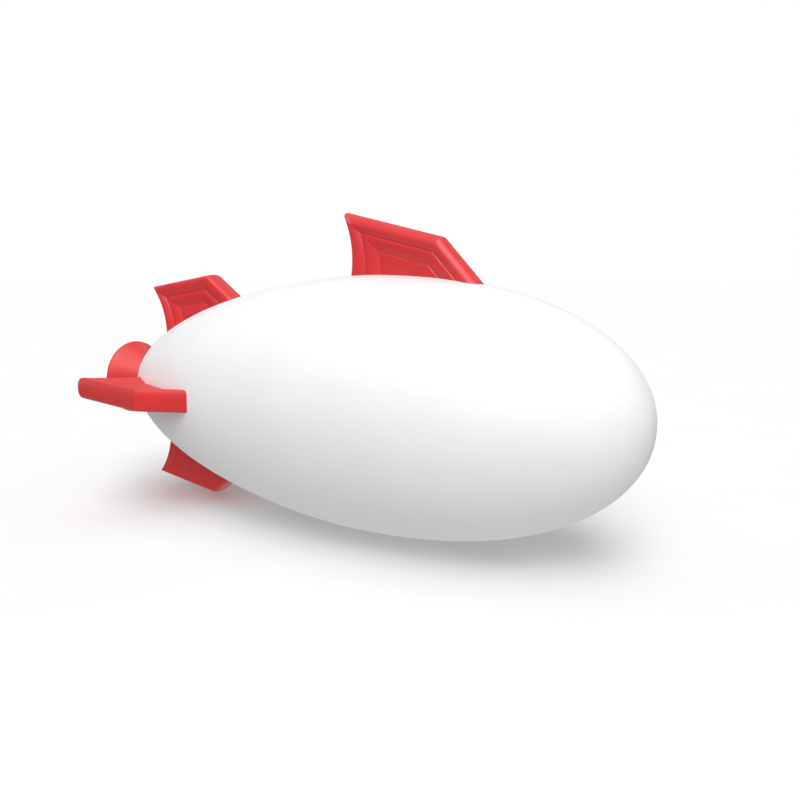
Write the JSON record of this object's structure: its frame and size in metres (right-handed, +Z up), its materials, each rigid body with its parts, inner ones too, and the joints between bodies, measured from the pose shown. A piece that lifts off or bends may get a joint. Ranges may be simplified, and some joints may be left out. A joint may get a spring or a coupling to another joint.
{
  "type": "inflatable spaceship balloon",
  "caption": "Egg-shaped gas balloon styled as a spaceship, with a stepped dorsal fin, a cross of tail fins, a flared tail nozzle, a belly valve and swinging tether rings.",
  "frame": {"origin": "middle of the envelope's length, on its axis, where the mount air_hold is", "axes": "+X along the envelope's axis towards the nose, +Z up through the dorsal fin, +Y to its left"},
  "size_m": [5.245, 2.104, 2.6089],
  "materials": {
    "envelope": "satin white PVC film",
    "fin": "satin red PVC film",
    "nozzle": "satin red PVC film",
    "patch": "welded white PVC patch",
    "valve": "moulded white plastic",
    "webbing": "woven pale grey webbing",
    "ring": "bright zinc plated"
  },
  "bodies": {
    "envelope": {"envelope_gore_01": "envelope", "envelope_gore_02": "envelope", "envelope_gore_03": "envelope", "envelope_gore_04": "envelope", "envelope_gore_05": "envelope", "envelope_gore_06": "envelope", "envelope_gore_07": "envelope", "envelope_gore_08": "envelope", "envelope_gore_09": "envelope", "envelope_gore_10": "envelope", "envelope_gore_11": "envelope", "envelope_gore_12": "envelope", "nose_cap": "envelope", "tail_cap": "envelope", "dorsal_fin": "fin", "tail_fin_upper": "fin", "tail_fin_lower": "fin", "tail_fin_left": "fin", "tail_fin_right": "fin", "tail_nozzle": "nozzle", "nozzle_end_panel": "nozzle", "tether_patch_front": "patch", "tether_keeper_front": "webbing", "tether_patch_middle": "patch", "tether_keeper_middle": "webbing", "tether_patch_rear": "patch", "tether_keeper_rear": "webbing", "valve_base": "valve"},
    "ring_front": {"tether_ring_front": "ring"},
    "ring_middle": {"tether_ring_middle": "ring"},
    "ring_rear": {"tether_ring_rear": "ring"},
    "cap": {"valve_cap": "valve"}
  },
  "joints": [
    {"name": "ring_front_swing", "type": "hinge", "parent": "envelope", "child": "ring_front", "pos_m": [1.40321, 0, -0.94358], "axis": [0, 1, 0], "range_deg": [-98.2, 71.8]},
    {"name": "ring_middle_swing", "type": "hinge", "parent": "envelope", "child": "ring_middle", "pos_m": [0.30005, 0, -1.05091], "axis": [0, 1, 0], "range_deg": [-85.2, 84.8]},
    {"name": "ring_rear_swing", "type": "hinge", "parent": "envelope", "child": "ring_rear", "pos_m": [-0.80265, 0, -0.93519], "axis": [0, 1, 0], "range_deg": [-74.1, 95.9]},
    {"name": "cap_hinge", "type": "hinge", "parent": "envelope", "child": "cap", "pos_m": [-0.28699, 0, -1.01174], "axis": [0, 1, 0], "range_deg": [0, 110]}
  ]
}
